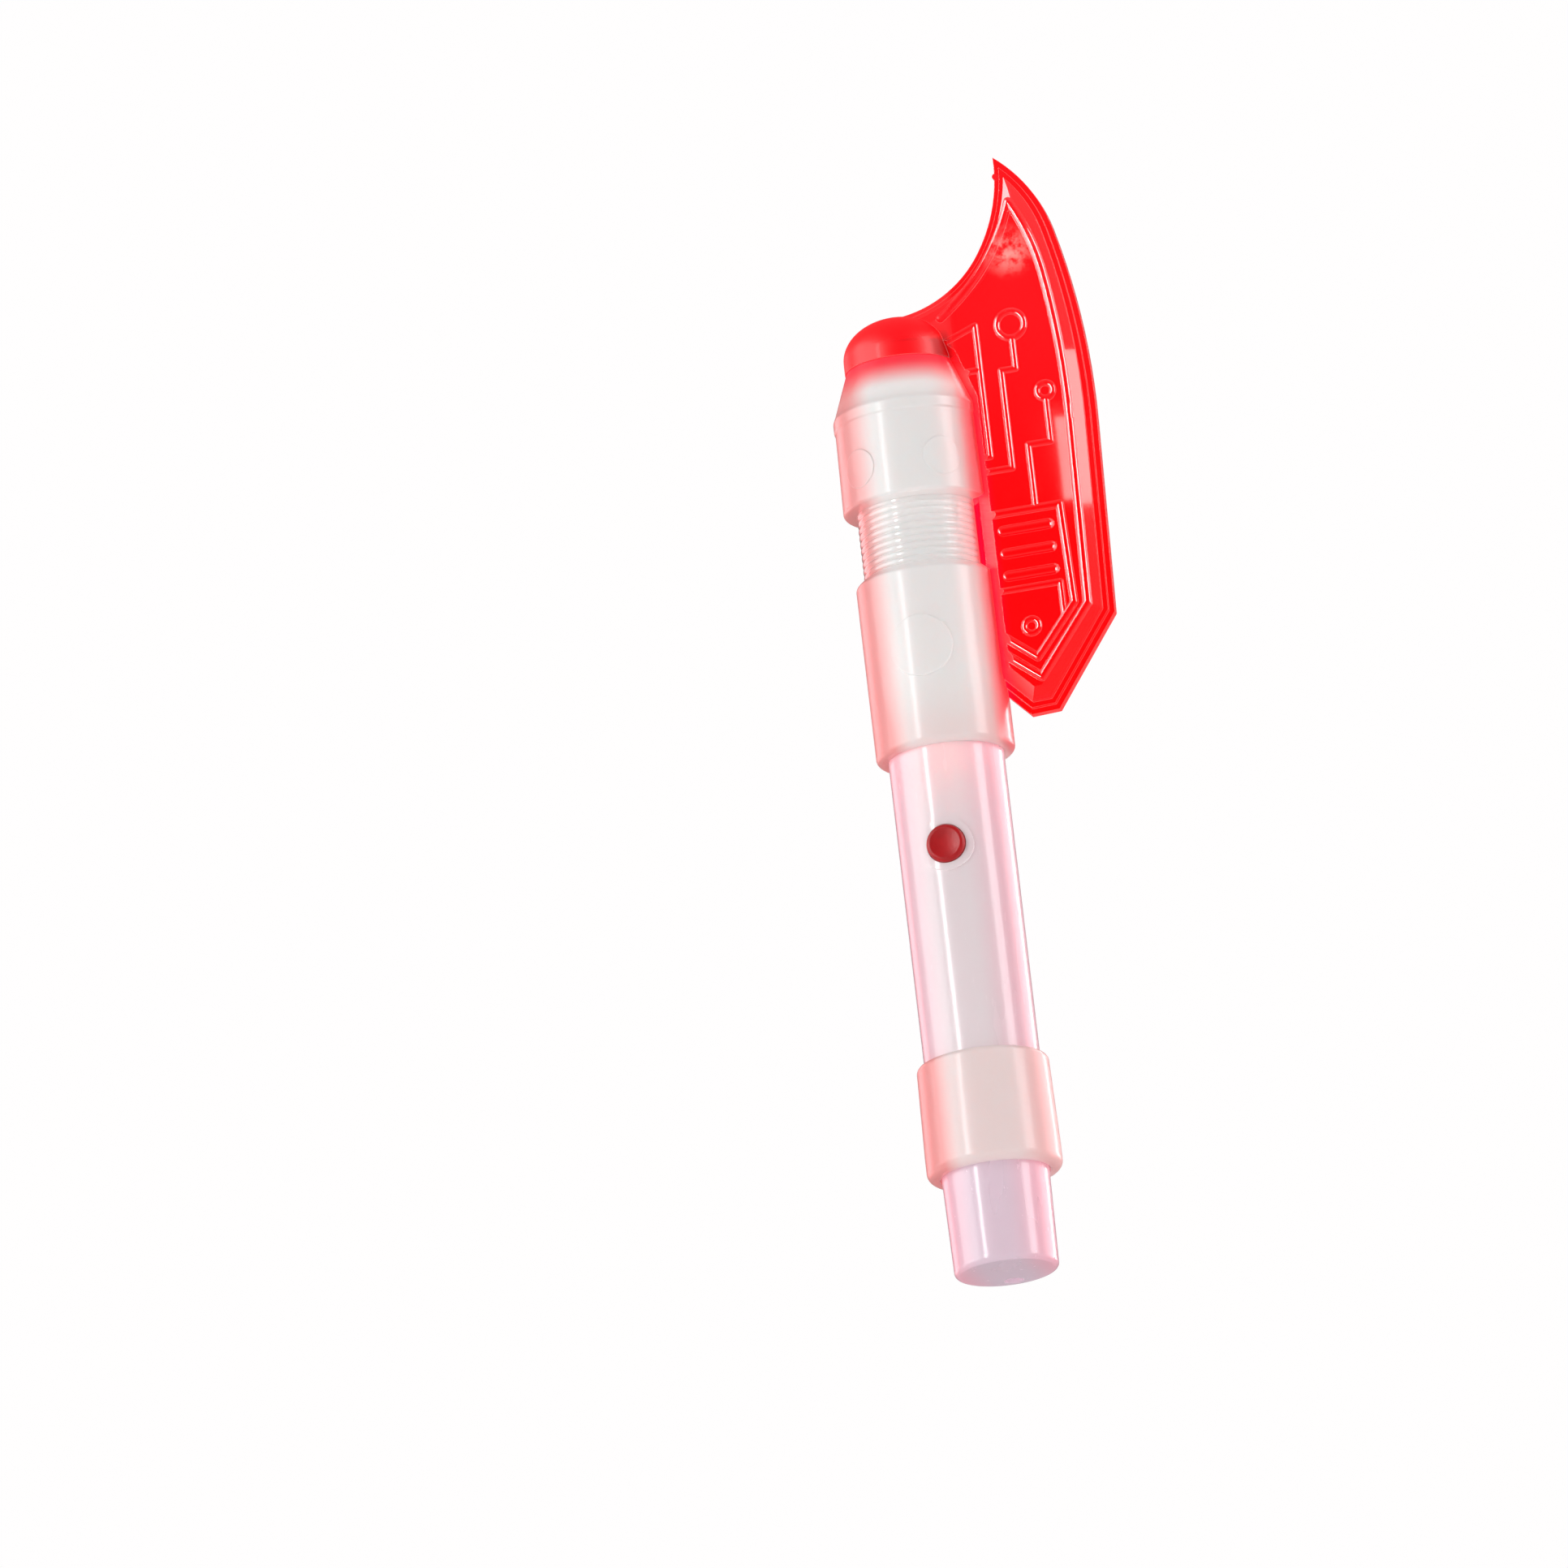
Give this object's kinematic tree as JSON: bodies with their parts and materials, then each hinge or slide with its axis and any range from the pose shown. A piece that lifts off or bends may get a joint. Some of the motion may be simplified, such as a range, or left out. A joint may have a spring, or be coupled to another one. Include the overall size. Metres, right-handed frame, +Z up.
{
  "type": "light-up toy axe baton",
  "caption": "Hand-held light-up baton in axe form: hollow clear red blade with a domed cap on a milky ribbed barrel, slim grip with button, plug-in end cap.",
  "frame": {"origin": "centre of the end cap's flat lower face", "axes": "+Z up the handle to the blade's point, +X towards the cutting edge, -Y to the push button"},
  "size_m": [0.0662, 0.0364, 0.2834],
  "materials": {
    "red_clear_plastic": "clear red injection-moulded styrene, glossy",
    "milky_plastic": "milky white polyethylene, satin",
    "natural_tube": "natural translucent polypropylene, satin",
    "natural_cap": "natural translucent polypropylene, satin",
    "zinc_steel": "zinc-plated steel",
    "nickel_plate": "nickel-plated sheet steel",
    "nickel_wire": "nickel-plated spring wire",
    "cell_jacket": "printed jacket with bare steel ends",
    "white_carrier": "white moulded plastic",
    "green_board": "green solder mask",
    "black_resin": "black resin",
    "black_switch": "black moulded plastic",
    "white_plunger": "white moulded plastic",
    "red_button": "red moulded plastic",
    "red_led": "red epoxy lamp body",
    "tinned_leg": "tinned wire",
    "red_wire": "red PVC sleeve",
    "black_wire": "black PVC sleeve"
  },
  "bodies": {
    "baton": {"blade_front_shell": "red_clear_plastic", "blade_rear_shell": "red_clear_plastic", "barrel": "milky_plastic", "grip_tube": "natural_tube", "lower_collar": "milky_plastic", "cell_upright": "cell_jacket", "cell_inverted": "cell_jacket", "battery_carrier": "white_carrier", "positive_contact": "nickel_plate", "negative_contact": "nickel_plate", "negative_spring": "nickel_wire", "circuit_board": "green_board", "flasher_chip": "black_resin", "led_resistor": "black_resin", "switch_case": "black_switch", "barrel_led": "red_led", "barrel_led_legs": "tinned_leg", "led_holder": "white_carrier", "led_board": "green_board", "head_led_left": "red_led", "head_led_right": "red_led", "head_led_legs": "tinned_leg", "battery_lead_red": "red_wire", "battery_lead_black": "black_wire", "head_lead_red": "red_wire", "head_lead_black": "black_wire"},
    "end_cap": {"end_cap": "natural_cap", "bridge_plate": "nickel_plate", "bridge_spring": "nickel_wire"},
    "cap_screw": {"cap_screw": "zinc_steel"},
    "push_button": {"push_button": "red_button", "switch_plunger": "white_plunger"}
  },
  "joints": [
    {"name": "end_cap_pull", "type": "slide", "parent": "baton", "child": "end_cap", "axis": [0, 0, -1], "range_m": [0, 0.06]},
    {"name": "screw_turn", "type": "hinge", "parent": "end_cap", "child": "cap_screw", "pos_m": [0, 0.0083, 0.025], "axis": [0, 0, 1], "continuous": true},
    {"name": "button_press", "type": "slide", "parent": "baton", "child": "push_button", "axis": [0, 1, 0], "range_m": [0, 0.001], "stiffness_N_per_m": 800, "springref_m": -0.001}
  ]
}
